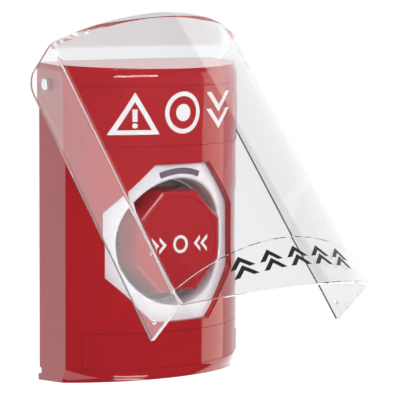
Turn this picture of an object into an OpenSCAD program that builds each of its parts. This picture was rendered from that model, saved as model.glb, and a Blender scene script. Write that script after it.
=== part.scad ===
// Wall station with a push button in an octagonal well and a hinged clear lift cover.
// Frame: the wall plane is y = 0, the front faces -Y, +Z is up and +X is to the right.
// The origin lies on the wall behind the middle of the housing. Lengths are millimetres.
// A place in front of the wall is called a depth, counted forwards from the wall.

/* [Housing] */
// Width of the housing at its rear edge
housing_w = 81.3; // [76:0.1:90]
// Height of the housing at its rear edge
housing_h = 120.6; // [112:0.1:130]
// Wall of the moulding
housing_wall = 2.5; // [2:0.1:3]
// Depth of the rear edge of the housing, which the mounting plate sets
edge_depth = 2; // [1.5:0.1:2.5]
// Depth of the front corners, where the side walls end and the curved face starts
corner_depth = 19; // [17:0.1:22]
// Rise of the curved face from its side corners to its middle
face_rise = 20.3; // [18:0.1:22]
// Inward taper of each side wall at the front corners
side_taper = 0.45; // [0:0.05:0.8]
// Drop of the top and bottom walls from the rear edge to the middle of the face
end_taper = 2.5; // [1.5:0.1:3]
// Height of the curved brow along the top and bottom of the face
brow_h = 5; // [4:0.1:6]
// Set-back of the brow at its outer edge
brow_set = 1.1; // [0.8:0.1:1.6]
// Reach of the corner feet behind the rear edge
foot_reach = 0.85; // [0.5:0.05:1.2]
// Height of a corner foot
foot_h = 2.4; // [2:0.1:3]
// Radius of the half-round notch above each foot
notch_r = 1.3; // [1:0.1:1.6]

/* [Octagonal well] */
// Height of the button axis over the middle of the housing
axis_z = -7; // [-8:0.1:-5]
// Opening in the face, across flats
well_af = 58.8; // [57.4:0.1:61]
// Step round the lip of the opening
lip_step = 0.4; // [0.2:0.1:0.8]
// Wall of the white dish
dish_wall = 1.5; // [1.2:0.1:2]
// Width of the flange of the dish behind the face
dish_flange = 2.6; // [2:0.1:3]
// Bore of the sleeve at the floor of the dish
dish_bore_r = 22.8; // [22.6:0.1:24]
// Radius of the bowl of the dish at its mouth
dish_mouth_r = 25; // [24.6:0.1:25.3]
// Radius of the rounded edge between the front ring of the dish and its bowl
dish_round_r = 1.2; // [0.8:0.1:1.4]
// Depth of the floor of the dish
dish_floor_depth = 24.3; // [23:0.1:25.5]

/* [Indicator] */
// Outer radius of the arched window about the button axis
window_out_r = 27.7; // [27.4:0.1:28.2]
// Inner radius of the arched window
window_in_r = 25.6; // [25.5:0.1:26]
// Angle that the window spans about the button axis
window_sweep = 39; // [30:0.5:42]
// Thickness of the window
window_t = 2; // [1.6:0.1:2.2]
// Step by which the window stands proud of the dish
window_proud = 0.3; // [0.1:0.05:0.4]
// Width of the lamp board
board_w = 20; // [18:0.1:22]
// Height of the lamp board
board_h = 5; // [4.6:0.1:5.6]
// Thickness of the lamp board
board_t = 1.2; // [1:0.1:1.6]
// Radius of a lamp
lamp_r = 0.9; // [0.7:0.05:1]
// Length of a lamp
lamp_l = 1.7; // [1.4:0.1:2]

/* [Push button] */
// Face of the button, across flats
button_af = 37.8; // [35:0.1:38.6]
// Flare of the skirt from face to rear edge, across flats
button_flare = 1.8; // [1:0.1:2.2]
// Depth of the face of the button
button_depth = 36.6; // [36.2:0.1:37.2]
// Length of the button from its face to the rear edge of the skirt
button_l = 11; // [10:0.1:11.4]
// Thickness of the face of the button
button_face_t = 3.2; // [3:0.1:3.6]
// Wall of the skirt
button_wall = 1.9; // [1.6:0.1:2.2]
// Chamfer round the face
button_chamfer = 0.9; // [0.6:0.1:1.2]
// Travel of the button
button_travel = 4; // [3:0.1:4.2]
// Radius of the disc set into the face
disc_r = 16.9; // [15:0.1:17.2]
// Thickness of the disc
disc_t = 0.7; // [0.5:0.1:1]
// Radius of the stem
stem_r = 4; // [3.6:0.1:4.2]
// Length of the stem behind the face of the button
stem_l = 25.9; // [25.4:0.1:26.4]

/* [Switch] */
// Thickness of the switch carrier
carrier_t = 3; // [2.6:0.1:3.4]
// Depth of the front of the carrier
carrier_depth = 16; // [15.8:0.1:16.4]
// Distance of the carrier screws from the button axis, across and up
boss_pitch = 25.5; // [25.2:0.1:26]
// Outer radius of the guide sleeve
sleeve_r = 6.5; // [6:0.1:6.8]
// Depth of the front end of the guide sleeve
sleeve_front = 22; // [21:0.1:23]
// Wire of the return spring
spring_wire = 0.9; // [0.7:0.1:1]
// Turns of the return spring
spring_turns = 5; // [4:1:5]
// Width of a contact block
block_w = 15; // [14:0.1:16]
// Height of a contact block
block_h = 24; // [22:0.1:26]
// Length of a contact block behind the carrier
block_l = 10; // [9.4:0.1:10.4]
// Distance of a plunger from the button axis
plunger_x = 12; // [11.6:0.1:12.6]
// Radius of a plunger
plunger_r = 1.5; // [1.2:0.1:1.7]

/* [Mounting plate] */
// Distance from the sides of the housing to the sides of the plate
plate_side = 1.85; // [1.5:0.05:2.2]
// Distance from the ends of the housing to the ends of the plate
plate_end = 1.8; // [1.5:0.05:2.2]
// Distance between the two mounting holes
mount_pitch = 83.3; // [80:0.1:86]
// Radius of a mounting hole
mount_r = 2.1; // [1.8:0.1:2.5]
// Width of the wiring opening
wiring_w = 52; // [48:0.5:56]
// Height of the wiring opening
wiring_h = 50; // [44:0.5:54]

/* [Labels] */
// Distance from the top of the housing to the upper label
upper_inset = 8.7; // [8:0.1:10]
// Height of the upper label
upper_h = 22.4; // [18:0.1:22.6]
// Distance from the bottom of the housing to the lower label
lower_inset = 6.7; // [6:0.1:8]
// Height of the lower label
lower_h = 13.5; // [10:0.1:14]
// Thickness of a label
label_t = 0.8; // [0.5:0.1:1]
// Distance from the sides of the housing to the ends of a label
label_inset = 4.6; // [4:0.1:6]
// Depth of the pull slot at the right end of a label
slot_t = 1.7; // [1.3:0.1:1.9]

/* [Clear cover] */
// Gap between the cheeks of the cover and the sides of the housing
cheek_gap = 1.1; // [0.6:0.1:2]
// Wall of the cover
cover_wall = 1.7; // [1.4:0.1:2]
// Gap between the closed cover and the middle of the face
cover_gap = 0.5; // [0.4:0.1:2]
// Radius of the front sheet
cover_bend_r = 62; // [60:0.5:66]
// Outer radius where the front sheet turns into the cheeks
cover_corner_r = 3; // [2.5:0.1:5]
// Depth of the rear edge of the cheeks
cheek_rear = 1.3; // [1:0.1:2.5]
// Outer radius of the rear top corner of the cheeks
cheek_corner_r = 6.2; // [5:0.1:7]
// Depth at which the roof starts
roof_rear = 21.5; // [20:0.1:24]
// Gap between the roof of the cover and the top of the housing
roof_gap = 0.3; // [0.3:0.1:1.2]
// Distance from the bottom of the housing up to the bottom edge of the cheeks
cheek_lift = 2.6; // [1:0.1:5]
// Drop of the front edge below the cheeks at the middle
lip_drop = 8.9; // [7:0.1:11]
// Height of the arched lip over the front edge at the middle
lip_h = 20.4; // [18:0.1:24]
// Thickness that the lip adds outside
lip_t = 0.5; // [0.3:0.1:0.9]
// Depth of the hinge axis
hinge_depth = 10.1; // [9.8:0.1:11]
// Distance from the top of the housing down to the hinge axis
hinge_drop = 7.9; // [7.8:0.1:9]
// Radius of a hinge pin
pin_r = 2.2; // [1.8:0.1:2.5]
// Angle at which the cover stands lifted
cover_lift = 42.5; // [0:0.5:80]

/* [Hidden] */
$fn = 96;

// Overrun of a cut past the face that it opens
cut = 1;
// Running clearance of a pin or stem in its bore
running = 0.06;
// Clearance of parts that are pushed together by hand
fit = 0.1;
// Clearance of a screw in its through hole
screw_clear = 0.2;

// Cross recess of a screw, as shares of the radius of its head
recess_share = 0.55;
recess_thin_share = 0.1;

// Housing, worked out
half_w = housing_w / 2;
half_h = housing_h / 2;
corner_x = half_w - side_taper;
face_depth = corner_depth + face_rise;
face_r = (corner_x * corner_x + face_rise * face_rise) / (2 * face_rise);
face_axis = face_depth - face_r;
end_slope = end_taper / (face_depth - edge_depth);
inner_r = face_r - housing_wall;
notch_z = -half_h + foot_h + notch_r;
// Depth of a cylinder of radius r about the axis of the face, at a distance x from the middle
function bend_depth(r, x) = face_axis + sqrt(r * r - x * x);
// Height of the top wall at a depth
function top_z(depth) = half_h - end_slope * (depth - edge_depth);

// Well, dish and window, worked out
dish_r = inner_r - fit;
dish_flange_af = well_af + 2 * dish_flange;
dish_sleeve_r = dish_bore_r + dish_wall;
dish_sides = 64;
round_steps = 3;
window_mid_r = (window_in_r + window_out_r) / 2;
lamp_turn = 12;
lamp_front = bend_depth(dish_r + window_proud - window_t, window_out_r * sin(lamp_turn) + lamp_r) - fit;
board_front = lamp_front - lamp_l;
board_low = dish_mouth_r - dish_round_r + dish_wall + fit;

// Button and switch, worked out
under_face = button_depth - button_face_t;
stem_end = under_face - stem_l;
collar_t = 2.4;
collar_wall = 1.8;
cap_screw_r = 1.5;
cap_head_r = 2.8;
cap_head_t = 1.1;
cap_screw_l = 9;
yoke_t = 2.5;
yoke_front = under_face - collar_t - fit;
yoke_rear = yoke_front - yoke_t;
yoke_bar = 6;
leg_w = 3.4;
leg_h = 5;
leg_gap = 1.8;
leg_clear = 0.4;
leg_end = carrier_depth + leg_gap;
sleeve_flange_t = 1.5;
sleeve_flange_r = 9;
carrier_rear = carrier_depth - carrier_t;
clip_t = 0.8;
clip_end = 2;
clip_front = stem_end + clip_end;
clip_r = 5.6;
clip_neck = 1;
sleeve_rear = clip_front + fit;
spring_gap = 0.6;
spring_pitch_r = sleeve_r + spring_gap + spring_wire / 2;
spring_seat = carrier_depth + sleeve_flange_t;
spring_steps = 20;
block_rear = carrier_rear - block_l;
block_in = 7.2;
plunger_floor_t = 1.2;
plunger_spare = 0.2;
plunger_floor = block_rear + plunger_floor_t;
plunger_back = plunger_floor + button_travel + plunger_spare;
carrier_ear_r = 4.5;
thread_share = 0.8;
boss_r = 3.5;
boss_screw_r = 1.5;
boss_screw_l = 9;
head_t = 2;
head_r = 2.8;
block_screw_r = 1;
block_screw_in = 2.4;
block_screw_end = 2.3;
block_screw_x = block_in + block_screw_in;
block_screw_z = block_h / 2 - block_screw_end;
small_head_r = 1.9;
small_head_t = 1.1;
terminal_in = 4.6;
terminal_x = block_in + block_w - terminal_in;
terminal_z = 7;
terminal_side = 6.2;
clamp_t = 0.7;
terminal_r = 1.2;
terminal_l = 5;
terminal_head_r = 2.3;
terminal_head_t = 1;

// Mounting plate, worked out
plate_w = housing_w - 2 * plate_side;
plate_h = housing_h - 2 * plate_end;
tab_t = 1.5;
tab_w = 12;
tab_top_x = 22;
tab_bottom_x = 20;
tab_top_l = 8;
tab_bottom_l = 11;
tab_gap = 0.4;
plate_corner_r = 3;
tab_top_z = top_z(edge_depth + tab_top_l) - housing_wall - tab_gap;
tab_bottom_z = top_z(edge_depth + tab_bottom_l) - housing_wall - tab_gap;
screw_reach = 6;
screw_depth = edge_depth + screw_reach;
plate_screw_r = 1.5;
plate_screw_l = 7.5;
plate_head_r = 2.9;
plate_head_t = 1.4;

// Labels, worked out
label_fit = 0.12;
label_reach = half_w - label_inset;
upper_top = half_h - upper_inset;
upper_bottom = upper_top - upper_h;
lower_bottom = -half_h + lower_inset;
lower_top = lower_bottom + lower_h;
slot_inset = 5;
slot_end = 1.4;
slot_x = corner_x - slot_end;

// Cover, worked out
cover_half = half_w + cheek_gap + cover_wall;
cover_w = 2 * cover_half;
cover_front = face_depth + cover_gap + cover_wall;
cover_axis = cover_front - cover_bend_r;
cover_turn_x = cover_half - cover_corner_r;
cover_turn_depth = cover_axis + sqrt(pow(cover_bend_r - cover_corner_r, 2) - cover_turn_x * cover_turn_x);
roof_top = top_z(roof_rear) + roof_gap + cover_wall;
cheek_bottom = -half_h + cheek_lift;
hinge_z = half_h - hinge_drop;
lip_slope = lip_drop / (cover_front - cover_turn_depth);
arch_slope = 0.37;
arch_z = cheek_bottom - lip_drop + lip_h;
pip_depth = 6.1;
pip_rise = 4.4;
pip_z = cheek_bottom + pip_rise;
pip_r = 1.3;
pip_height = 0.6;
pin_seat = 5;
hinge_boss_r = 4.4;
pin_chamfer = 0.3;

// Solids drawn as a side view, with depth across and height up, spread w wide about the middle
module side_spread(w) {
    translate([w / 2, 0, 0]) rotate([90, 0, -90]) linear_extrude(w) children();
}

// Solids drawn as a plan, with x across and depth up, between two heights
module plan_spread(low, high) {
    translate([0, 0, low]) mirror([0, 1, 0]) linear_extrude(high - low) children();
}

// Solids drawn as a front view about the button axis, between two depths
module front_spread(rear, front) {
    translate([0, -rear, axis_z]) rotate([90, 0, 0]) linear_extrude(front - rear) children();
}

// A round bar along the depth, about a place x, z
module depth_bar(r, rear, front, x, z) {
    translate([x, -rear, z]) rotate([90, 0, 0]) cylinder(r = r, h = front - rear);
}

// A round bar across the width, about a place depth, z
module cross_bar(r, from_x, to_x, depth, z) {
    translate([from_x, -depth, z]) rotate([0, 90, 0]) cylinder(r = r, h = to_x - from_x);
}

// A block between two depths, centred on x, z
module depth_block(w, h, rear, front, x, z) {
    translate([x - w / 2, -front, z - h / 2]) cube([w, front - rear, h]);
}

// Regular octagon with a flat on top, by its width across flats
module octagon(af) {
    rotate(22.5) circle(r = af / 2 / cos(22.5), $fn = 8);
}

// The revolved face with its brows, t inside the outer skin
module face_turn(t) {
    brow_r = (brow_h * brow_h + brow_set * brow_set) / (2 * brow_set);
    brow_turn = asin(brow_h / brow_r);
    shoulder = half_h - end_taper - brow_h;
    steps = 5;
    arc = [for (i = [0 : steps]) [face_r - t - brow_r * (1 - cos(brow_turn * i / steps)),
        shoulder - t + brow_r * sin(brow_turn * i / steps)]];
    upper = concat(arc, [[face_r - t - brow_set, half_h + cut], [0, half_h + cut]]);
    lower = [for (i = [len(upper) - 1 : -1 : 0]) [upper[i][0], -upper[i][1]]];
    translate([0, -face_axis, 0]) rotate_extrude($fn = 180) polygon(concat(lower, upper));
}

// The whole form of the housing, t inside its outer skin
module housing_form(t, rear) {
    intersection() {
        face_turn(t);
        side_spread(housing_w) polygon([
            [rear, -top_z(rear) + t], [face_depth + cut, -top_z(face_depth + cut) + t],
            [face_depth + cut, top_z(face_depth + cut) - t], [rear, top_z(rear) - t]]);
        plan_spread(-half_h - cut, half_h + cut) polygon([
            [-half_w + t, rear], [-corner_x + t, corner_depth],
            [-corner_x + t, face_depth + cut], [corner_x - t, face_depth + cut],
            [corner_x - t, corner_depth], [half_w - t, rear]]);
    }
}

// A band of the face between two heights, from its outer skin to t inside it
module face_band(low, high, t, from_x, to_x) {
    intersection() {
        translate([0, -face_axis, low]) difference() {
            cylinder(r = face_r + cut, h = high - low, $fn = 180);
            translate([0, 0, -cut]) cylinder(r = face_r - t, h = high - low + 2 * cut, $fn = 180);
        }
        plan_spread(low, high) polygon([[from_x, corner_depth - 2 * cut], [from_x, face_depth + 2 * cut],
            [to_x, face_depth + 2 * cut], [to_x, corner_depth - 2 * cut]]);
    }
}

module label_slot(low, high) {
    face_band(low, high, label_t, -label_reach, label_reach);
    face_band(low + fit, high - slot_inset, slot_t, label_reach - cut, slot_x);
}

// Red moulded housing: open back, curved face, octagonal opening, label seats and inner bosses
module housing() {
    color("firebrick") difference() {
        union() {
            difference() {
                housing_form(0, edge_depth);
                housing_form(housing_wall, edge_depth - cut);
            }
            intersection() {
                housing_form(housing_wall / 2, edge_depth);
                union() {
                    for (x = [-boss_pitch, boss_pitch], z = [-boss_pitch, boss_pitch])
                        depth_bar(boss_r, carrier_depth + fit / 2, face_depth, x, axis_z + z);
                    for (s = [-1, 1])
                        cross_bar(hinge_boss_r, min(s * (half_w - housing_wall - pin_seat), s * half_w),
                            max(s * (half_w - housing_wall - pin_seat), s * half_w), hinge_depth, hinge_z);
                }
            }
            for (s = [-1, 1])
                depth_block(housing_wall / 2, foot_h, edge_depth - foot_reach, edge_depth,
                    s * (half_w - housing_wall / 4), -half_h + foot_h / 2);
        }
        front_spread(corner_depth, face_depth + cut) octagon(well_af);
        intersection() {
            front_spread(corner_depth, face_depth + cut) octagon(well_af + 2 * lip_step);
            face_band(axis_z - well_af, axis_z + well_af, lip_step, -corner_x, corner_x);
        }
        label_slot(upper_bottom, upper_top);
        label_slot(lower_bottom, lower_top);
        for (x = [-boss_pitch, boss_pitch], z = [-boss_pitch, boss_pitch])
            depth_bar(boss_screw_r + running, carrier_depth - cut, carrier_depth + boss_screw_l, x,
                axis_z + z);
        cross_bar(pin_r + running, -half_w - cut, half_w + cut, hinge_depth, hinge_z);
        cross_bar(notch_r, -half_w - cut, half_w + cut, edge_depth, notch_z);
        for (x = [-tab_bottom_x, tab_bottom_x]) plate_screw_place(x) translate([0, 0, -cut]) {
            cylinder(r = plate_screw_r + screw_clear, h = housing_wall + 2 * cut);
            cylinder(r1 = plate_head_r + screw_clear + cut, r2 = plate_screw_r + screw_clear,
                h = plate_head_t + cut);
        }
    }
}

// Steel mounting plate: two box holes, wiring opening, and four bent tabs that the housing fits over
module mounting_plate() {
    color("lightsteelblue") difference() {
        union() {
            plan_box(plate_w, plate_h, plate_corner_r);
            for (x = [-tab_top_x, tab_top_x])
                depth_block(tab_w, tab_t, edge_depth - cut, edge_depth + tab_top_l, x,
                    tab_top_z - tab_t / 2);
            for (x = [-tab_bottom_x, tab_bottom_x])
                depth_block(tab_w, tab_t, edge_depth - cut, edge_depth + tab_bottom_l, x,
                    -tab_bottom_z + tab_t / 2);
        }
        depth_block(wiring_w, wiring_h, -cut, edge_depth + cut, 0, axis_z);
        for (z = [-mount_pitch / 2, mount_pitch / 2])
            depth_bar(mount_r, -cut, edge_depth + cut, 0, z);
        for (x = [-tab_bottom_x, tab_bottom_x])
            translate([x, -screw_depth, -tab_bottom_z - cut])
                cylinder(r = plate_screw_r + running, h = tab_t + 2 * cut);
    }
}

// Flat plate with round corners, on the wall
module plan_box(w, h, r) {
    rotate([90, 0, 0]) linear_extrude(edge_depth) {
        square([w - 2 * r, h], center = true);
        square([w, h - 2 * r], center = true);
        for (x = [-w / 2 + r, w / 2 - r], z = [-h / 2 + r, h / 2 - r]) translate([x, z]) circle(r);
    }
}

// Place of the head of a screw in the bottom wall
module plate_screw_place(x) {
    translate([x, -screw_depth, -top_z(screw_depth) + end_slope * plate_head_r]) children();
}

// Countersunk screws through the bottom wall into the lower tabs
module plate_screws() {
    color("silver") for (x = [-tab_bottom_x, tab_bottom_x])
        plate_screw_place(x) difference() {
            union() {
                cylinder(r1 = plate_head_r, r2 = plate_screw_r, h = plate_head_t);
                cylinder(r = plate_screw_r, h = plate_screw_l);
            }
            cross_recess(plate_head_r, plate_head_t / 2);
        }
}

// Cross recess of a screw head, cut upwards from the face of the head
module cross_recess(r, depth) {
    for (a = [0, 90]) rotate([0, 0, a]) translate([-r * recess_share, -r * recess_thin_share, -cut])
        cube([2 * r * recess_share, 2 * r * recess_thin_share, depth + cut]);
}

// Ring of points about the button axis: an octagon or a circle, at a set-back from the curve of the dish
function oct_ring(af, back) = [for (i = [0 : dish_sides - 1]) let (a = 360 * i / dish_sides,
    b = (a + 22.5) % 45 - 22.5, r = af / 2 / cos(b), x = r * cos(a))
    [x, back - bend_depth(dish_r, x), axis_z + r * sin(a)]];
function bend_ring(r, back) = [for (i = [0 : dish_sides - 1]) let (a = 360 * i / dish_sides, x = r * cos(a))
    [x, back - bend_depth(dish_r, x), axis_z + r * sin(a)]];
function flat_ring(r, depth) = [for (i = [0 : dish_sides - 1]) let (a = 360 * i / dish_sides)
    [r * cos(a), -depth, axis_z + r * sin(a)]];

// White dish: ring that follows the inside of the face, bowl with a rounded mouth, sleeve to the carrier
module dish() {
    turns = [for (k = [0 : round_steps]) 90 * k / round_steps];
    rings = concat([oct_ring(dish_flange_af, 0), oct_ring(well_af, 0)],
        [for (a = turns) bend_ring(dish_mouth_r - dish_round_r * sin(a), dish_round_r * (1 - cos(a)))],
        [flat_ring(dish_bore_r + dish_wall / 2, dish_floor_depth),
            flat_ring(dish_bore_r + dish_wall * 3 / 2, dish_floor_depth - dish_wall),
            bend_ring(dish_mouth_r - dish_round_r + dish_wall, dish_wall),
            oct_ring(well_af, dish_wall), oct_ring(dish_flange_af, dish_wall)]);
    n = dish_sides;
    m = len(rings);
    color("whitesmoke") difference() {
        union() {
            polyhedron([for (ring = rings) each ring], [for (k = [0 : m - 1], i = [0 : n - 1]) each [
                [k * n + i, ((k + 1) % m) * n + i, k * n + (i + 1) % n],
                [k * n + (i + 1) % n, ((k + 1) % m) * n + i, ((k + 1) % m) * n + (i + 1) % n]]]);
            difference() {
                depth_bar(dish_sleeve_r, carrier_depth, dish_floor_depth, 0, axis_z);
                depth_bar(dish_bore_r, carrier_depth - cut, dish_floor_depth + cut, 0, axis_z);
            }
        }
        front_spread(board_front, face_depth) window_outline(fit);
    }
}

// Arched outline of the window about the button axis
module window_outline(grow) {
    half = window_sweep / 2 + atan(grow / window_in_r);
    far = 2 * window_out_r;
    intersection() {
        difference() {
            circle(r = window_out_r + grow);
            circle(r = window_in_r - grow);
        }
        polygon([[0, 0], [-far * sin(half), far * cos(half)], [far * sin(half), far * cos(half)]]);
    }
}

// Smoked window over the lamps, with faces that follow the curve of the dish
module indicator_window() {
    front_r = dish_r + window_proud;
    color("dimgray") difference() {
        intersection() {
            front_spread(board_front, face_depth) window_outline(0);
            translate([0, -face_axis, -half_h]) cylinder(r = front_r, h = housing_h, $fn = 180);
        }
        translate([0, -face_axis, -half_h]) cylinder(r = front_r - window_t, h = housing_h, $fn = 180);
    }
}

// Circuit board behind the window, over the bowl of the dish
module lamp_board() {
    color("darkgreen") depth_block(board_w, board_h, board_front - board_t, board_front, 0,
        axis_z + board_low + board_h / 2);
}

module indicator_lamps() {
    color("gainsboro") for (a = [-lamp_turn, 0, lamp_turn])
        depth_bar(lamp_r, board_front, lamp_front, window_mid_r * sin(a), axis_z + window_mid_r * cos(a));
}

// Octagonal cap: flared skirt, chamfered face, seat for the disc, screw hole and collar for the stem
module button_cap() {
    rear_af = button_af + button_flare;
    face_af = button_af - 2 * button_chamfer;
    bevel_rear = button_depth - button_chamfer;
    head_rear = button_depth - disc_t - cap_head_t - fit;
    color("firebrick") difference() {
        union() {
            difference() {
                union() {
                    oct_cone(rear_af, button_af, button_depth - button_l, bevel_rear);
                    oct_cone(button_af, face_af, bevel_rear, button_depth);
                }
                front_spread(button_depth - button_l - cut, under_face) octagon(button_af - 2 * button_wall);
            }
            depth_bar(stem_r + collar_wall, under_face - collar_t, under_face + fit, 0, axis_z);
        }
        depth_bar(stem_r + running, under_face - collar_t - cut, under_face, 0, axis_z);
        depth_bar(disc_r + fit, button_depth - disc_t, button_depth + cut, 0, axis_z);
        depth_bar(cap_head_r + screw_clear, head_rear, button_depth, 0, axis_z);
        depth_bar(cap_screw_r + screw_clear, under_face - cut, button_depth, 0, axis_z);
    }
}

// Octagonal frustum about the button axis
module oct_cone(rear_af, front_af, rear, front) {
    translate([0, -rear, axis_z]) rotate([90, 0, 0]) rotate([0, 0, 22.5])
        cylinder(r1 = rear_af / 2 / cos(22.5), r2 = front_af / 2 / cos(22.5), h = front - rear, $fn = 8);
}

module button_disc() {
    color("firebrick") depth_bar(disc_r, button_depth - disc_t, button_depth - fit, 0, axis_z);
}

module cap_screw() {
    head_rear = button_depth - disc_t - cap_head_t - fit;
    color("silver") difference() {
        union() {
            depth_bar(cap_head_r, head_rear, head_rear + cap_head_t, 0, axis_z);
            depth_bar(cap_screw_r, head_rear - cap_screw_l, head_rear, 0, axis_z);
        }
        translate([0, -head_rear - cap_head_t, axis_z]) rotate([-90, 0, 0])
            cross_recess(cap_head_r, cap_head_t / 2);
    }
}

// Stem with a screw hole in front and a groove for its clip behind
module button_stem() {
    color("ivory") difference() {
        depth_bar(stem_r, stem_end, under_face, 0, axis_z);
        depth_bar(cap_screw_r + running, under_face - cap_screw_l, under_face + cut, 0, axis_z);
        difference() {
            depth_bar(stem_r + cut, clip_front - clip_t - fit, clip_front + fit / 2, 0, axis_z);
            depth_bar(stem_r - clip_neck, clip_front - clip_t - cut, clip_front + cut, 0, axis_z);
        }
    }
}

// Yoke on the stem: its two legs press the plungers of the contact blocks
module actuator_yoke() {
    color("dimgray") difference() {
        union() {
            depth_bar(sleeve_flange_r, yoke_rear, yoke_front, 0, axis_z);
            depth_block(2 * plunger_x + leg_w, yoke_bar, yoke_rear, yoke_front, 0, axis_z);
            for (x = [-plunger_x, plunger_x]) depth_block(leg_w, leg_h, leg_end, yoke_front, x, axis_z);
        }
        depth_bar(stem_r + running, yoke_rear - cut, yoke_front + cut, 0, axis_z);
    }
}

// Wire of the spring as rings of points along its helix
function coil_point(a, b, low, rise) = let (
    c = spring_pitch_r + spring_wire / 2 * cos(b),
    depth = low + rise * a / (360 * spring_turns) + spring_wire / 2 * sin(b))
    [c * cos(a), -depth, axis_z + c * sin(a)];

module return_spring() {
    low = spring_seat + spring_wire / 2 + fit;
    rise = yoke_rear - spring_wire - spring_seat - 2 * fit;
    rings = spring_turns * spring_steps;
    sides = 8;
    points = [for (k = [0 : rings], s = [0 : sides - 1])
        coil_point(360 * k / spring_steps, 360 * s / sides, low, rise)];
    sleeve = [for (k = [0 : rings - 1], s = [0 : sides - 1]) each [
        [k * sides + s, (k + 1) * sides + s, k * sides + (s + 1) % sides],
        [k * sides + (s + 1) % sides, (k + 1) * sides + s, (k + 1) * sides + (s + 1) % sides]]];
    ends = [[for (s = [0 : sides - 1]) s], [for (s = [sides - 1 : -1 : 0]) rings * sides + s]];
    color("silver") polyhedron(points, concat(sleeve, ends));
}

// Guide sleeve, held in the carrier by its flange
module guide_sleeve() {
    color("ivory") difference() {
        union() {
            depth_bar(sleeve_r, sleeve_rear, sleeve_front, 0, axis_z);
            depth_bar(sleeve_flange_r, carrier_depth, carrier_depth + sleeve_flange_t, 0, axis_z);
        }
        depth_bar(stem_r + running, sleeve_rear - cut, sleeve_front + cut, 0, axis_z);
    }
}

// Open spring clip in the groove of the stem
module stem_clip() {
    color("silver") difference() {
        depth_bar(clip_r, clip_front - clip_t, clip_front, 0, axis_z);
        depth_bar(stem_r - clip_neck + fit, clip_front - clip_t - cut, clip_front + cut, 0, axis_z);
        depth_block(2 * (stem_r - clip_neck), clip_r + cut, clip_front - clip_t - cut, clip_front + cut, 0,
            axis_z - (clip_r + cut) / 2);
    }
}

// Carrier plate behind the dish
module switch_carrier() {
    color("darkslategray") difference() {
        front_spread(carrier_rear, carrier_depth) {
            square([2 * boss_pitch, 2 * (boss_pitch + carrier_ear_r)], center = true);
            square([2 * (boss_pitch + carrier_ear_r), 2 * boss_pitch], center = true);
            for (x = [-boss_pitch, boss_pitch], z = [-boss_pitch, boss_pitch])
                translate([x, z]) circle(carrier_ear_r);
        }
        depth_bar(sleeve_r + running, carrier_rear - cut, carrier_depth + cut, 0, axis_z);
        for (x = [-boss_pitch, boss_pitch], z = [-boss_pitch, boss_pitch])
            depth_bar(boss_screw_r + screw_clear, carrier_rear - cut, carrier_depth + cut, x, axis_z + z);
        for (s = [-1, 1]) {
            depth_block(leg_w + 2 * leg_clear, leg_h + 2 * leg_clear, carrier_rear - cut,
                carrier_depth + cut, s * plunger_x, axis_z);
            for (z = [-block_screw_z, block_screw_z])
                depth_bar(block_screw_r + running, carrier_rear - cut,
                    carrier_rear + carrier_t * thread_share, s * block_screw_x, axis_z + z);
        }
    }
}

// A pan-head screw along the depth, its head behind
module rear_screw(r, l, hr, ht, seat, x, z) {
    difference() {
        union() {
            depth_bar(hr, seat - ht, seat, x, z);
            depth_bar(r, seat - ht / 2, seat + l, x, z);
        }
        translate([x, -seat + ht, z]) rotate([90, 0, 0]) cross_recess(hr, ht / 2);
    }
}

module carrier_screws() {
    color("silver") for (x = [-boss_pitch, boss_pitch], z = [-boss_pitch, boss_pitch])
        rear_screw(boss_screw_r, carrier_t + boss_screw_l - cut, head_r, head_t, carrier_rear, x,
            axis_z + z);
}

// Contact block on one side of the stem; side is -1 or 1
module contact_block(side) {
    difference() {
        depth_block(block_w, block_h, block_rear, carrier_rear, side * (block_in + block_w / 2), axis_z);
        depth_bar(plunger_r + running, plunger_floor, carrier_rear + cut, side * plunger_x, axis_z);
        for (z = [-block_screw_z, block_screw_z])
            depth_bar(block_screw_r + screw_clear, block_rear - cut, carrier_rear + cut,
                side * block_screw_x, axis_z + z);
        for (z = [-terminal_z, terminal_z]) {
            depth_bar(terminal_r + running, block_rear - cut, block_rear + terminal_l + fit,
                side * terminal_x, axis_z + z);
            depth_block(terminal_side, terminal_side, block_rear - cut, block_rear + clamp_t,
                side * terminal_x, axis_z + z);
        }
    }
}

module contact_block_open() {
    color("seagreen") contact_block(-1);
}

module contact_block_closed() {
    color("firebrick") contact_block(1);
}

module plunger_open() {
    color("ivory") depth_bar(plunger_r, plunger_back, leg_end - fit / 2, -plunger_x, axis_z);
}

module plunger_closed() {
    color("ivory") depth_bar(plunger_r, plunger_back, leg_end - fit / 2, plunger_x, axis_z);
}

module block_screws() {
    color("silver") for (x = [-block_screw_x, block_screw_x], z = [-block_screw_z, block_screw_z])
        rear_screw(block_screw_r, block_l + carrier_t / 2, small_head_r, small_head_t, block_rear, x,
            axis_z + z);
}

module terminal_clamps() {
    color("goldenrod") for (x = [-terminal_x, terminal_x], z = [-terminal_z, terminal_z]) difference() {
        depth_block(terminal_side - 2 * fit, terminal_side - 2 * fit, block_rear, block_rear + clamp_t,
            x, axis_z + z);
        depth_bar(terminal_r + running, block_rear - cut, block_rear + clamp_t + cut, x, axis_z + z);
    }
}

module terminal_screws() {
    color("silver") for (x = [-terminal_x, terminal_x], z = [-terminal_z, terminal_z])
        rear_screw(terminal_r, terminal_l, terminal_head_r, terminal_head_t, block_rear, x, axis_z + z);
}

// Curved label strip in its seat in the face
module label_strip(low, high) {
    intersection() {
        face_band(low + label_fit, high - label_fit, label_t - label_fit / 2, -label_reach + label_fit,
            label_reach - label_fit);
        translate([0, -face_axis, low]) cylinder(r = face_r, h = high - low, $fn = 180);
    }
}

module upper_label() {
    color("crimson") label_strip(upper_bottom, upper_top);
}

module lower_label() {
    color("crimson") label_strip(lower_bottom, lower_top);
}

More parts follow.
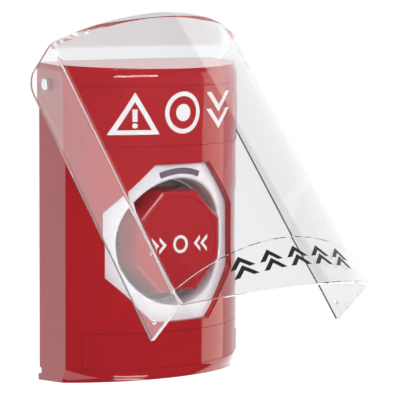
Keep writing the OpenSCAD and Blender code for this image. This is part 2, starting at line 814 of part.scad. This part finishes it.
// Plan of the cover, t inside its outer skin: cheeks, rounded corners and bent front sheet
module cover_plan(t) {
    tip_x = 2 * cover_turn_x;
    tip_depth = 2 * cover_turn_depth - cover_axis;
    polygon([[-cover_half + t, -cut], [-cover_half + t, cover_turn_depth],
        [cover_half - t, cover_turn_depth], [cover_half - t, -cut]]);
    for (x = [-cover_turn_x, cover_turn_x]) translate([x, cover_turn_depth]) circle(cover_corner_r - t);
    intersection() {
        translate([0, cover_axis]) circle(r = cover_bend_r - t, $fn = 180);
        polygon([[0, cover_axis], [tip_x, tip_depth], [-tip_x, tip_depth]]);
    }
}

// Side view of the cover: round top corner, roof line, and front edge that drops to the lip
module cover_side() {
    far = cover_front + cut + lip_t;
    round_depth = cheek_rear + cheek_corner_r;
    round_z = roof_top - cheek_corner_r;
    translate([round_depth, round_z]) circle(cheek_corner_r);
    polygon([[cheek_rear, cheek_bottom], [cover_turn_depth, cheek_bottom],
        [far, cheek_bottom - lip_slope * (far - cover_turn_depth)],
        [far, roof_top - end_slope * (far - roof_rear)], [roof_rear, roof_top], [round_depth, roof_top],
        [round_depth, round_z], [cheek_rear, round_z]]);
}

// Turn the closed cover to the angle at which it stands
module lifted() {
    translate([0, -hinge_depth, hinge_z]) rotate([-cover_lift, 0, 0]) translate([0, hinge_depth, -hinge_z])
        children();
}

// Clear cover: two cheeks, bent front sheet, roof over the front, arched lip and hinge holes
module clear_cover() {
    low = cheek_bottom - 2 * lip_drop;
    high = roof_top + cut;
    far = cover_front + cut;
    color("aliceblue", 0.5) lifted() union() {
        difference() {
            intersection() {
                plan_spread(low, high) cover_plan(0);
                side_spread(cover_w + cut) cover_side();
            }
            intersection() {
                plan_spread(low - cut, high + cut) cover_plan(cover_wall);
                side_spread(cover_w) polygon([[-2 * cut, low - cut], [far, low - cut],
                    [far, roof_top - cover_wall - end_slope * (far - roof_rear)],
                    [roof_rear, roof_top - cover_wall], [roof_rear, high + cut], [-2 * cut, high + cut]]);
            }
            cross_bar(pin_r + running, -cover_half - cut, cover_half + cut, hinge_depth, hinge_z);
        }
        intersection() {
            plan_spread(low, high) difference() {
                cover_plan(-lip_t);
                cover_plan(cover_wall / 2);
            }
            side_spread(cover_w) polygon([[cover_turn_depth, cheek_bottom],
                [far, cheek_bottom - lip_slope * (far - cover_turn_depth)], [far, arch_z + arch_slope * cut],
                [cover_turn_depth, arch_z - arch_slope * (cover_front - cover_turn_depth)]]);
        }
        for (s = [-1, 1]) translate([s * (cover_half - cover_wall), -pip_depth, pip_z]) intersection() {
            sphere(r = pip_r);
            cube(2 * pip_height, center = true);
        }
    }
}

// Hinge pin: pressed into the boss of the housing, end flush with the cheek
module hinge_pin(side) {
    inner = half_w - housing_wall - pin_seat;
    plain_l = cover_half - inner - pin_chamfer;
    color("lightgray") translate([side * inner, -hinge_depth, hinge_z]) rotate([0, side * 90, 0]) union() {
        cylinder(r = pin_r, h = plain_l);
        translate([0, 0, plain_l]) cylinder(r1 = pin_r, r2 = pin_r - pin_chamfer, h = pin_chamfer);
    }
}

module hinge_pin_left() {
    hinge_pin(-1);
}

module hinge_pin_right() {
    hinge_pin(1);
}

housing();
mounting_plate();
plate_screws();
dish();
indicator_window();
lamp_board();
indicator_lamps();
button_cap();
button_disc();
cap_screw();
button_stem();
actuator_yoke();
return_spring();
guide_sleeve();
stem_clip();
switch_carrier();
carrier_screws();
contact_block_open();
contact_block_closed();
plunger_open();
plunger_closed();
block_screws();
terminal_clamps();
terminal_screws();
upper_label();
lower_label();
clear_cover();
hinge_pin_left();
hinge_pin_right();
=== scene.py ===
# %% [markdown]
# # Emergency push button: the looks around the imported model
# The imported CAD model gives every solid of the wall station: the red housing, the white dish, the
# octagonal button with its switch, and the clear cover on its hinge. This notebook adds the camera, the
# light, the finishes and the printed signs. Everything is in metres in the frame of the CAD model: the
# wall is y = 0, the front faces -Y and +Z is up. Sizes are written in millimetres and turned by mm().

import math

import bpy
from mathutils import Matrix, Vector


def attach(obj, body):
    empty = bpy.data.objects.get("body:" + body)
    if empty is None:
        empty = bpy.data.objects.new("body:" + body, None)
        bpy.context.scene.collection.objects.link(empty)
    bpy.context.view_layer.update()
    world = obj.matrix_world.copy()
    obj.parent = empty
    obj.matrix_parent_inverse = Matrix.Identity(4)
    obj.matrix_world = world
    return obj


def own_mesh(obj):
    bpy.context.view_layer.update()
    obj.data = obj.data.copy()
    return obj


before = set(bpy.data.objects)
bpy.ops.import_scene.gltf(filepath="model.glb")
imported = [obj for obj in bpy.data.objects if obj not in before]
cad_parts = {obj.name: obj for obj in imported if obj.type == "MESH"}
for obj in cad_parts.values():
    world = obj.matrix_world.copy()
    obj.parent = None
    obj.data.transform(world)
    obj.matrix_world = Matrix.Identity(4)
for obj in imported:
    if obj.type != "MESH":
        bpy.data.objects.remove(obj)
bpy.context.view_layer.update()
bpy.ops.object.select_all(action="DESELECT")

# %% [markdown]
# ## Units, colours and nodes
# A few small helpers serve the whole notebook. A length comes in millimetres, because that is how such
# a product is drawn. A colour comes as the hex value that a paint program shows, and Blender wants it
# linear. No real surface has one even colour, so a helper makes a colour darker or paler. A node is
# added with its settings and its links in one call, so that a material reads as a list.

# %% Helpers for lengths, colours and nodes
def mm(*values):
    """Millimetres to metres, for one number or for a point."""
    return values[0] / 1000 if len(values) == 1 else Vector(v / 1000 for v in values)


def linear(colour):
    """An sRGB hex value such as "AE2128" as Blender's linear RGBA."""
    parts = [int(colour[i:i + 2], 16) / 255 for i in (0, 2, 4)]
    return [p / 12.92 if p <= 0.04045 else ((p + 0.055) / 1.055) ** 2.4 for p in parts] + [1.0]


def shaded(colour, factor):
    """The linear colour of a hex value, made darker or paler by a factor."""
    return [min(1.0, c * factor) for c in linear(colour)[:3]] + [1.0]


def add(tree, kind, links=None, **settings):
    """Adds a node. A setting is an attribute or an input by name; links maps an input to an output."""
    node = tree.nodes.new("ShaderNode" + kind)
    for name, value in settings.items():
        label = name.replace("_", " ")
        if hasattr(node, name):
            setattr(node, name, value)
        else:
            node.inputs[label].default_value = value
    for name, output in (links or {}).items():
        tree.links.new(output, node.inputs[name])
    return node


print("red as linear", [round(c, 3) for c in linear("AE2128")])

# %% [markdown]
# ## Camera
# The picture shows the station from its left side, a little from above, through a long lens, so that
# upright edges stay parallel. The camera looks at one point inside the part from a distance that gives
# the same convergence. The slight roll levels the rear edge of the housing as in the picture.

# %% Camera at the picture's angle
PICTURE_PX = 400
FOCAL_PX = 2222
SENSOR_MM = 36
AZIMUTH, ELEVATION, ROLL = (math.radians(a) for a in (-36.94, 5.90, -0.31))
CAMERA_MM = 858.8
AIM = mm(20.71, -21.1, 6.41)

back = Vector((math.sin(AZIMUTH) * math.cos(ELEVATION), -math.cos(AZIMUTH) * math.cos(ELEVATION),
               math.sin(ELEVATION)))
level = Vector((math.cos(AZIMUTH), math.sin(AZIMUTH), 0))
upright = back.cross(level)
right = level * math.cos(ROLL) - upright * math.sin(ROLL)
up = level * math.sin(ROLL) + upright * math.cos(ROLL)
bpy.ops.object.camera_add()
camera = bpy.context.object
camera.name = "camera"
camera.data.sensor_width = SENSOR_MM
camera.data.lens = FOCAL_PX / PICTURE_PX * SENSOR_MM
turn = Matrix((right, up, back)).transposed().to_4x4()
camera.matrix_world = Matrix.Translation(AIM + back * mm(CAMERA_MM)) @ turn
camera.data.clip_start, camera.data.clip_end = mm(10), mm(20000)
bpy.context.scene.camera = camera
bpy.context.scene.view_settings.view_transform = "Standard"
print("lens", round(camera.data.lens, 1), "mm at", [round(v, 3) for v in camera.location])

# %% [markdown]
# ## Studio
# The picture has a white surround, and a red shell that is deep in front and pale where it turns away
# from the lens. So the world is white to the eye and through the clear cover. In a mirror it is dark
# before the wall plane and white behind it, and pale grey from the second turn on, as inside the edges
# of the cover. One white panel stands at the right: its front edge draws the sharp upright line in the
# reflection on the face. The paper floor ends below the part, so that neither the face nor the bottom
# brow mirrors it. A broad lamp in front would spoil the deep red, so the lamps that a mirror shows are
# narrow: the key and the low lamp each draw one bright sliver on a curved brow, and the edge lamp draws
# the line along the bevel of the button. Light turns dozens of times inside the walls of the cover
# before it comes out, and Blender's usual limits would leave black slivers there, so they are raised.

# %% Room for light inside the clear walls
BOUNCES = 64
for limit in ("max_bounces", "glossy_bounces", "transmission_bounces"):
    setattr(bpy.context.scene.cycles, limit, BOUNCES)
print("light may turn", BOUNCES, "times")

# %% Panel that only a reflection sees
PANEL_GLOSS = 2.6
PANEL_X, PANEL_FRONT, PANEL_REAR = 700, -483, -30
FLOOR_Z, PANEL_LOW, PANEL_HIGH = -180, -330, 330
glow = bpy.data.materials.new("white studio panel")
glow.use_nodes = True
glow.node_tree.nodes.clear()
shine = add(glow.node_tree, "Emission", Color=linear("FFF3E6"), Strength=PANEL_GLOSS)
add(glow.node_tree, "OutputMaterial", {"Surface": shine.outputs[0]})
bpy.ops.mesh.primitive_plane_add(
    size=1, rotation=(math.pi / 2, 0, math.pi / 2),
    location=mm(PANEL_X, (PANEL_FRONT + PANEL_REAR) / 2, (PANEL_LOW + PANEL_HIGH) / 2))
panel = bpy.context.object
panel.name = "panel_right"
panel.scale = (mm(PANEL_REAR - PANEL_FRONT), mm(PANEL_HIGH - PANEL_LOW), 1)
panel.visible_camera = panel.visible_diffuse = False
panel.data.materials.append(glow)
print("panel at x", PANEL_X, "mm")

# %% World: white to the eye, dark before the wall in a mirror and white behind it, soft as a lamp
WORLD_EYE, WORLD_LIGHT = 1.0, 0.5
MIRROR_FRONT, MIRROR_BACK, MIRROR_DEEP = 0.1, 1.1, 0.75
WALL_SIDE = -0.05
ONCE, TWICE = 1, 1.5  # a path mirrored at least once is cut to 1; one mirrored again is past 1.5
world = bpy.context.scene.world or bpy.data.worlds.new("studio")
bpy.context.scene.world = world
world.use_nodes = True
tree = world.node_tree
tree.nodes.clear()
path = add(tree, "LightPath")
place = add(tree, "TexCoord")
way = add(tree, "SeparateXYZ", {0: place.outputs["Generated"]})
behind = add(tree, "Math", {0: way.outputs["Y"]}, operation="GREATER_THAN")
behind.inputs[1].default_value = WALL_SIDE
mirror = add(tree, "MapRange", {"Value": behind.outputs[0]}, To_Min=MIRROR_FRONT, To_Max=MIRROR_BACK)
often = add(tree, "Math", {0: path.outputs["Glossy Depth"]}, operation="GREATER_THAN")
often.inputs[1].default_value = TWICE
turned = add(tree, "MapRange", {"Value": often.outputs[0], "To Min": mirror.outputs[0]},
             To_Max=MIRROR_DEEP)
seen = add(tree, "Math", {0: path.outputs["Is Camera Ray"], 1: path.outputs["Is Transmission Ray"]},
           operation="MAXIMUM")
plain = add(tree, "MapRange", {"Value": seen.outputs[0]}, To_Min=WORLD_LIGHT, To_Max=WORLD_EYE)
mirrored = add(tree, "Math", {0: path.outputs["Glossy Depth"]}, operation="MINIMUM")
mirrored.inputs[1].default_value = ONCE
strength = add(tree, "MapRange", {"Value": mirrored.outputs[0], "To Min": plain.outputs[0],
                                  "To Max": turned.outputs[0]})
sky = add(tree, "Background", {"Strength": strength.outputs[0]}, Color=linear("FFFFFF"))
add(tree, "OutputWorld", {"Surface": sky.outputs[0]})
print("world", WORLD_EYE, WORLD_LIGHT, MIRROR_FRONT, MIRROR_BACK, MIRROR_DEEP)

# %% Floor that keeps the shadow
FLOOR_SHINE, FLOOR_MIRROR, FLOOR_DEEP = 0.6, 1.3, 0.3
FLOOR_X, FLOOR_Y = (-3000, 600), (-100, 5000)
bpy.ops.mesh.primitive_plane_add(size=1, location=mm(sum(FLOOR_X) / 2, sum(FLOOR_Y) / 2, FLOOR_Z))
floor = bpy.context.object
floor.name = "floor"
floor.scale = (mm(FLOOR_X[1] - FLOOR_X[0]), mm(FLOOR_Y[1] - FLOOR_Y[0]), 1)
paper = bpy.data.materials.new("matt white paper floor")
paper.use_nodes = True
tree = paper.node_tree
tree.nodes.clear()
path = add(tree, "LightPath")
seen = add(tree, "Math", {0: path.outputs["Is Camera Ray"], 1: path.outputs["Is Transmission Ray"]},
           operation="MAXIMUM")
plain = add(tree, "Math", {0: seen.outputs[0]}, operation="MULTIPLY")
plain.inputs[1].default_value = FLOOR_SHINE
mirrored = add(tree, "Math", {0: path.outputs["Glossy Depth"]}, operation="MINIMUM")
mirrored.inputs[1].default_value = ONCE
often = add(tree, "Math", {0: path.outputs["Glossy Depth"]}, operation="GREATER_THAN")
often.inputs[1].default_value = TWICE
turned = add(tree, "MapRange", {"Value": often.outputs[0]}, To_Min=FLOOR_MIRROR, To_Max=FLOOR_DEEP)
extra = add(tree, "MapRange", {"Value": mirrored.outputs[0], "To Min": plain.outputs[0],
                               "To Max": turned.outputs[0]})
matt = add(tree, "BsdfDiffuse", Color=linear("E8E8E8"))
shine = add(tree, "Emission", {"Strength": extra.outputs[0]}, Color=linear("FFFFFF"))
both = add(tree, "AddShader", {0: matt.outputs[0], 1: shine.outputs[0]})
add(tree, "OutputMaterial", {"Surface": both.outputs[0]})
floor.data.materials.append(paper)
print("floor at", FLOOR_Z, "mm, front edge at", FLOOR_Y[0], "mm")

# %% Lamps
LAMPS = [
    # name, azimuth and elevation in degrees, distance, width, height in mm, watts, mirrored
    ("key", -10.5, 24, 1000, 680, 90, 3.3, True),
    ("top", -25, 62, 1100, 900, 700, 2.9, False),
    ("low", -14, -47, 380, 160, 22, 0.11, True),
    ("edge", -35, 54, 1000, 80, 80, 0.25, True),
]
for name, azimuth, elevation, distance, width, height, watts, mirrored in LAMPS:
    a, e = math.radians(azimuth), math.radians(elevation)
    way = Vector((math.sin(a) * math.cos(e), -math.cos(a) * math.cos(e), math.sin(e)))
    bpy.ops.object.light_add(type="AREA", location=way * mm(distance))
    lamp = bpy.context.object
    lamp.name = "lamp_" + name
    lamp.rotation_euler = way.to_track_quat("Z", "Y").to_euler()
    lamp.data.shape = "RECTANGLE"
    lamp.data.size, lamp.data.size_y = mm(width), mm(height)
    lamp.data.energy = watts
    lamp.visible_camera = False
    lamp.visible_glossy = lamp.visible_transmission = mirrored
print("lamps", [row[0] for row in LAMPS])

# %% [markdown]
# ## Moulded plastics
# Housing, button and dish are injection moulded ABS: a smooth skin with a faint waviness that only a
# reflection shows, and a shine that varies a little where the tool was polished or the part was
# handled. A noise pattern in Object coordinates does both: a wide one bends the surface by microns and
# varies the colour by a few parts in a hundred, and a fine one varies the roughness.

# %% Material for moulded plastic
def moulded(name, colour, roughness, wave_mm=14, grain_mm=1.2, bump_um=6, shade=0.05, ior=1.53):
    """Injection moulded plastic: a wavy skin, a fine grain and a slight change of colour."""
    material = bpy.data.materials.new(name)
    material.use_nodes = True
    tree = material.node_tree
    tree.nodes.clear()
    place = add(tree, "TexCoord")
    wave = add(tree, "TexNoise", {"Vector": place.outputs["Object"]}, Scale=1 / mm(wave_mm), Detail=3.0)
    grain = add(tree, "TexNoise", {"Vector": place.outputs["Object"]}, Scale=1 / mm(grain_mm),
                Detail=2.0)
    tint = add(tree, "ValToRGB", {"Fac": wave.outputs["Fac"]})
    tint.color_ramp.elements[0].color = shaded(colour, 1 - shade)
    tint.color_ramp.elements[1].color = shaded(colour, 1 + shade)
    rough = add(tree, "MapRange", {"Value": grain.outputs["Fac"]}, To_Min=roughness * 0.8,
                To_Max=roughness * 1.2)
    relief = add(tree, "Bump", {"Height": wave.outputs["Fac"]}, Distance=mm(bump_um / 1000),
                 Strength=0.6)
    body = add(tree, "BsdfPrincipled", {
        "Base Color": tint.outputs["Color"],
        "Roughness": rough.outputs["Result"], "Normal": relief.outputs["Normal"]}, IOR=ior)
    add(tree, "OutputMaterial", {"Surface": body.outputs[0]})
    return material


# Polished ABS mirrors the studio; the button is a touch duller from fingers. The label strips are
# acrylic, printed red from behind, as glossy as the shell. The dish has a satin skin, so that it
# spreads the light of the lamps.
housing_abs = moulded("polished red ABS of the housing", "AE1F26", 0.06)
button_abs = moulded("polished red ABS of the button", "AE1F26", 0.09)
label_abs = moulded("printed red acrylic of the label strips", "AE1F26", 0.06)
dish_abs = moulded("white ABS of the dish", "ECEBEF", 0.22, ior=1.5)
# Acetal is satin and a little creamy, glass fibre leaves nylon dull and mottled, and a solder mask is a
# thin green lacquer.
acetal = moulded("natural acetal", "DEDBD2", 0.32, grain_mm=0.8)
nylon_grey = moulded("grey glass-filled nylon", "5A5B60", 0.5, grain_mm=0.6, shade=0.1)
nylon_pale = moulded("pale grey glass-filled nylon", "CFC9CA", 0.48, grain_mm=0.6, shade=0.12)
nylon_green = moulded("green nylon of a contact block", "2F8A5B", 0.42, grain_mm=0.6)
nylon_red = moulded("red nylon of a contact block", "A8282C", 0.42, grain_mm=0.6)
board_mask = moulded("green solder mask", "1E6B3C", 0.3, grain_mm=2.0, shade=0.15)
print("plastics made")

# %% [markdown]
# ## Metals
# The plate, the screws and the pins are steel with a thin zinc plate, and the spring is bright wire.
# Zinc shows a faint grain of crystals and a soft cloudiness, so a noise of about a millimetre varies
# the colour and the roughness. The clamps are plated brass, of a warm yellow.

# %% Material for plated metal
def plated(name, colour, roughness, grain_mm=1.0, shade=0.12):
    """Plated metal with a cloudy grain."""
    material = bpy.data.materials.new(name)
    material.use_nodes = True
    tree = material.node_tree
    tree.nodes.clear()
    place = add(tree, "TexCoord")
    grain = add(tree, "TexNoise", {"Vector": place.outputs["Object"]}, Scale=1 / mm(grain_mm),
                Detail=4.0)
    tint = add(tree, "ValToRGB", {"Fac": grain.outputs["Fac"]})
    tint.color_ramp.elements[0].color = shaded(colour, 1 - shade)
    tint.color_ramp.elements[1].color = linear(colour)
    rough = add(tree, "MapRange", {"Value": grain.outputs["Fac"]}, To_Min=roughness * 0.75,
                To_Max=roughness * 1.25)
    body = add(tree, "BsdfPrincipled", {"Base Color": tint.outputs["Color"],
                                        "Roughness": rough.outputs["Result"]}, Metallic=1.0)
    add(tree, "OutputMaterial", {"Surface": body.outputs[0]})
    return material


zinc_sheet = plated("zinc plated sheet steel", "C4C8CC", 0.38, grain_mm=2.5)
zinc_screw = plated("zinc plated screw steel", "CFD1D2", 0.3, grain_mm=0.7)
spring_wire = plated("bright spring wire", "B9BBBE", 0.24, grain_mm=0.5)
pin_steel = plated("polished steel of the hinge pins", "C9CCD4", 0.22, grain_mm=0.8)
brass = plated("plated brass", "D9B873", 0.3, grain_mm=0.8)
print("metals made")

# %% [markdown]
# ## Clear plastics
# The cover is moulded polycarbonate, clear with a slight grey at its edges. As glass it bends light
# at both skins of its real wall, so the edges go dark and bright by themselves. Lamps would leave a
# black shadow behind it, so rays from lamps pass through unbent. The window over the lamps is the same
# plastic with smoke in it.

# %% Material for clear plastic
def clear(name, colour, roughness=0.02, ior=1.58, wave_mm=18, bump_um=3, shadow="FFFFFF", haze=0.0):
    """Clear moulded plastic that lets the lamps' light through; haze is the share that it scatters."""
    material = bpy.data.materials.new(name)
    material.use_nodes = True
    tree = material.node_tree
    tree.nodes.clear()
    place = add(tree, "TexCoord")
    wave = add(tree, "TexNoise", {"Vector": place.outputs["Object"]}, Scale=1 / mm(wave_mm), Detail=1.0)
    relief = add(tree, "Bump", {"Height": wave.outputs["Fac"]}, Distance=mm(bump_um / 1000),
                 Strength=0.5)
    body = add(tree, "BsdfPrincipled", {"Normal": relief.outputs["Normal"]}, IOR=ior,
               Roughness=roughness, Base_Color=linear(colour), Transmission_Weight=1 - haze)
    lamp_rays = add(tree, "BsdfTransparent", Color=linear(shadow))
    path = add(tree, "LightPath")
    both = add(tree, "MixShader", {0: path.outputs["Is Shadow Ray"], 1: body.outputs[0],
                                   2: lamp_rays.outputs[0]})
    add(tree, "OutputMaterial", {"Surface": both.outputs[0]})
    return material


cover_clear = clear("clear polycarbonate of the cover", "F6F7F8", ior=1.5, shadow="ECECEC")
window_smoke = clear("smoked polycarbonate of the window", "9C8698", roughness=0.12, shadow="8E8890",
                     haze=0.5)
lamp_epoxy = clear("clear epoxy of the lamps", "F4F1EA", roughness=0.08, ior=1.5)
print("clear plastics made")

# %% Give each node its finish
FINISHES = {
    "housing": housing_abs, "upper_label": label_abs, "lower_label": label_abs,
    "button_cap": button_abs, "button_disc": button_abs, "dish": dish_abs,
    "clear_cover": cover_clear, "indicator_window": window_smoke, "indicator_lamps": lamp_epoxy,
    "lamp_board": board_mask, "mounting_plate": zinc_sheet, "plate_screws": zinc_screw,
    "cap_screw": zinc_screw, "carrier_screws": zinc_screw, "block_screws": zinc_screw,
    "terminal_screws": zinc_screw, "terminal_clamps": brass, "return_spring": spring_wire,
    "stem_clip": spring_wire, "hinge_pin_left": pin_steel, "hinge_pin_right": pin_steel,
    "button_stem": acetal, "guide_sleeve": acetal, "plunger_open": acetal, "plunger_closed": acetal,
    "actuator_yoke": nylon_grey, "switch_carrier": nylon_pale,
    "contact_block_open": nylon_green, "contact_block_closed": nylon_red,
}
for node, material in FINISHES.items():
    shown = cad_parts[node]
    shown.data.materials.clear()
    shown.data.materials.append(material)
print("finished", len(FINISHES), "of", len(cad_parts), "nodes")

# %% [markdown]
# ## Soft edges
# No moulded edge is truly sharp: it ends in a radius of a few tenths, and that radius catches the
# light. The CAD solids have sharp edges, so each node that shows gets its radius from a Bevel modifier.
# A CAD mesh comes as loose triangles, so a Weld joins them first, and Weighted Normal keeps the broad
# faces flat.

# %% Bevel what shows
WELD_MM, SEGMENTS, FLATNESS = 0.002, 2, 50
EDGES = {
    # node: radius in mm, least angle in degrees
    "housing": (0.25, 30), "button_cap": (0.2, 30), "clear_cover": (0.25, 30),
    "upper_label": (0.1, 40), "lower_label": (0.1, 40), "mounting_plate": (0.2, 40),
}


def soften(target, radius, angle):
    """Rounds the edges of a piece that are sharper than angle."""
    weld = target.modifiers.new("weld", "WELD")
    weld.merge_threshold = mm(WELD_MM)
    bevel = target.modifiers.new("edge radius", "BEVEL")
    bevel.limit_method = "ANGLE"
    bevel.angle_limit = math.radians(angle)
    bevel.width = mm(radius)
    bevel.segments = SEGMENTS
    bevel.use_clamp_overlap = True
    normals = target.modifiers.new("flat faces", "WEIGHTED_NORMAL")
    normals.weight = FLATNESS


for node, (radius, angle) in EDGES.items():
    soften(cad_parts[node], radius, angle)
print("softened", sorted(EDGES))

# %% [markdown]
# ## Printed signs
# White print stands on the upper strip and on the button, and black print on the lip of the cover.
# They are plain signs: a warning triangle, a press ring and arrows that point down on the strip, arrows
# towards a ring on the button, and arrows that point up on the lip. Print could be a texture, but an
# ink layer as a thin mesh stays sharp in every export. Each sign is drawn flat, pushed into a prism,
# and cut by a thin tube that has the radius of the face, so that it curves as ink does.

# %% Ink
INK_GRAIN_MM, INK_RELIEF_MM, THIN_SPOT = 0.9, 0.004, 0.93


def ink(name, colour, roughness=0.45):
    """Screen printing ink: matt, with a fine grain and thin spots."""
    material = bpy.data.materials.new(name)
    material.use_nodes = True
    tree = material.node_tree
    tree.nodes.clear()
    place = add(tree, "TexCoord")
    grain = add(tree, "TexNoise", {"Vector": place.outputs["Object"]}, Scale=1 / mm(INK_GRAIN_MM),
                Detail=3.0)
    tint = add(tree, "ValToRGB", {"Fac": grain.outputs["Fac"]})
    tint.color_ramp.elements[0].color = shaded(colour, THIN_SPOT)
    tint.color_ramp.elements[1].color = linear(colour)
    relief = add(tree, "Bump", {"Height": grain.outputs["Fac"]}, Distance=mm(INK_RELIEF_MM),
                 Strength=0.5)
    body = add(tree, "BsdfPrincipled", {"Base Color": tint.outputs["Color"],
                                        "Normal": relief.outputs["Normal"]}, Roughness=roughness)
    add(tree, "OutputMaterial", {"Surface": body.outputs[0]})
    return material


white_ink = ink("white screen printing ink", "F2F0F0")
black_ink = ink("black screen printing ink", "1A1A1C")
print("inks made")

# %% Flat shapes of a sign
def flat(vertices, radius, x, z, stroke=0, turn=0):
    """A polygon in the plane of the sign, in mm and degrees; a stroke makes it an outline."""
    bpy.ops.mesh.primitive_circle_add(
        vertices=vertices, radius=mm(radius), fill_type="NGON", location=mm(x, 0, z),
        rotation=(math.pi / 2, math.radians(turn), 0))
    shape = bpy.context.object
    if stroke:
        bpy.ops.object.mode_set(mode="EDIT")
        bpy.ops.mesh.select_all(action="SELECT")
        bpy.ops.mesh.inset(thickness=mm(stroke), depth=0)
        bpy.ops.mesh.delete(type="FACE")
        bpy.ops.object.mode_set(mode="OBJECT")
    return shape


def bar(x, z, width, height):
    """A flat upright bar in mm."""
    bpy.ops.mesh.primitive_plane_add(size=1, location=mm(x, 0, z), rotation=(math.pi / 2, 0, 0))
    shape = bpy.context.object
    shape.scale = (mm(width), mm(height), 1)
    return shape


def chevron(x, z, radius, stroke, turn=0):
    """The upper half of a square outline that stands on its corner; turn 0 points up."""
    shape = flat(4, radius, x, z, stroke, turn)
    for face in shape.data.polygons:
        face.select = face.center.y < 0
    bpy.ops.object.mode_set(mode="EDIT")
    bpy.ops.mesh.delete(type="FACE")
    bpy.ops.object.mode_set(mode="OBJECT")
    return shape


print("sign shapes ready")

# %% Ink layer from flat shapes
INK_MM, SUNK_MM = 0.07, 0.1
SPARE_MM = 2  # how far the prism of a bent sign reaches past the surface before the tube cuts it
TUBE_MM, TUBE_SIDES = 400, 360


def ink_layer(name, shapes, front, material, body, bend=None):
    """Joins shapes to a layer of ink at depth front, bent to bend = (radius, axis depth)."""
    bpy.ops.object.select_all(action="DESELECT")
    for shape in shapes:
        shape.select_set(True)
    bpy.context.view_layer.objects.active = shapes[0]
    bpy.ops.object.join()
    layer = bpy.context.object
    layer.name = name
    bpy.ops.object.transform_apply(location=True, rotation=True, scale=True)
    reach = front + INK_MM if not bend else front + SPARE_MM
    start = front - SUNK_MM if not bend else 0
    bpy.ops.object.mode_set(mode="EDIT")
    bpy.ops.mesh.select_all(action="SELECT")
    bpy.ops.transform.translate(value=mm(0, -start, 0))
    bpy.ops.mesh.extrude_region_move(TRANSFORM_OT_translate={"value": mm(0, start - reach, 0)})
    bpy.ops.mesh.select_all(action="SELECT")
    bpy.ops.mesh.normals_make_consistent(inside=False)
    bpy.ops.object.mode_set(mode="OBJECT")
    if bend:
        radius, axis = bend
        for offset, operation in ((INK_MM, "INTERSECT"), (-SUNK_MM, "DIFFERENCE")):
            bpy.ops.mesh.primitive_cylinder_add(vertices=TUBE_SIDES, radius=mm(radius + offset),
                                                depth=mm(TUBE_MM), location=mm(0, -axis, 0))
            tube = bpy.context.object
            cut = layer.modifiers.new("bend", "BOOLEAN")
            cut.operation, cut.solver, cut.object = operation, "EXACT", tube
            bpy.context.view_layer.objects.active = layer
            bpy.ops.object.modifier_apply(modifier=cut.name)
            bpy.data.objects.remove(tube)
    layer.data.materials.clear()
    layer.data.materials.append(material)
    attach(layer, body)
    print(name, len(layer.data.polygons), "faces")
    return layer


# %% White signs on the upper strip
FACE_R, FACE_AXIS = 49.95, -10.65
SIGN_Z, STROKE = 41.6, 1.7
DANGER_X, TRIANGLE_R, TRIANGLE_DROP = -20, 10.4, 2.6
MARK_HIGH, MARK_DROP, POINT_R, POINT_DROP = 4.6, 0.7, 0.95, 4.5
danger = [flat(3, TRIANGLE_R, DANGER_X, SIGN_Z - TRIANGLE_DROP, STROKE),
          bar(DANGER_X, SIGN_Z - MARK_DROP, STROKE, MARK_HIGH),
          flat(16, POINT_R, DANGER_X, SIGN_Z - POINT_DROP)]
ink_layer("sign_danger", danger, FACE_R + FACE_AXIS, white_ink, "station", (FACE_R, FACE_AXIS))
PRESS_X, RING_R, DOT_R = -1, 7.8, 3.2
press = [flat(48, RING_R, PRESS_X, SIGN_Z, STROKE), flat(32, DOT_R, PRESS_X, SIGN_Z)]
ink_layer("sign_press", press, FACE_R + FACE_AXIS, white_ink, "station", (FACE_R, FACE_AXIS))
DOWN_X, DOWN_R, DOWN_STROKE = 18, 7.6, 1.9
down = [chevron(DOWN_X, SIGN_Z + offset, DOWN_R, DOWN_STROKE, 180) for offset in (7.2, 0.9)]
ink_layer("sign_down", down, FACE_R + FACE_AXIS, white_ink, "station", (FACE_R, FACE_AXIS))

# %% White signs on the button
BUTTON_FRONT, BUTTON_Z = 36.5, -8.1
CENTRE_R, TOWARDS_R, FINE_STROKE = 3.4, 3.2, 1.1
towards = [chevron(side * x, BUTTON_Z, TOWARDS_R, FINE_STROKE, -side * 90)
           for side in (-1, 1) for x in (13, 9.6)]
towards.append(flat(40, CENTRE_R, 0, BUTTON_Z, FINE_STROKE))
ink_layer("sign_button", towards, BUTTON_FRONT, white_ink, "button")

# %% Black signs on the lip, drawn on the shut cover and lifted with it
LIP_R, LIP_AXIS = 62.5, -20.5
LIP_Z, LIP_ARROW_R, LIP_STROKE = -56.0, 4.6, 1.5
LIFT = math.radians(-42.5)
HINGE = mm(0, -10.1, 52.4)
lift = Matrix.Translation(HINGE) @ Matrix.Rotation(LIFT, 4, "X") @ Matrix.Translation(-HINGE)
up_arrows = [chevron(x, LIP_Z + offset, LIP_ARROW_R, LIP_STROKE) for x in (-22, -11, 0, 11, 22)
             for offset in (-2.2, 1.4)]
lip_sign = ink_layer("sign_lift", up_arrows, LIP_R + LIP_AXIS, black_ink, "cover", (LIP_R, LIP_AXIS))
lip_sign.data.transform(lift)
print("signs on strip, button and lip")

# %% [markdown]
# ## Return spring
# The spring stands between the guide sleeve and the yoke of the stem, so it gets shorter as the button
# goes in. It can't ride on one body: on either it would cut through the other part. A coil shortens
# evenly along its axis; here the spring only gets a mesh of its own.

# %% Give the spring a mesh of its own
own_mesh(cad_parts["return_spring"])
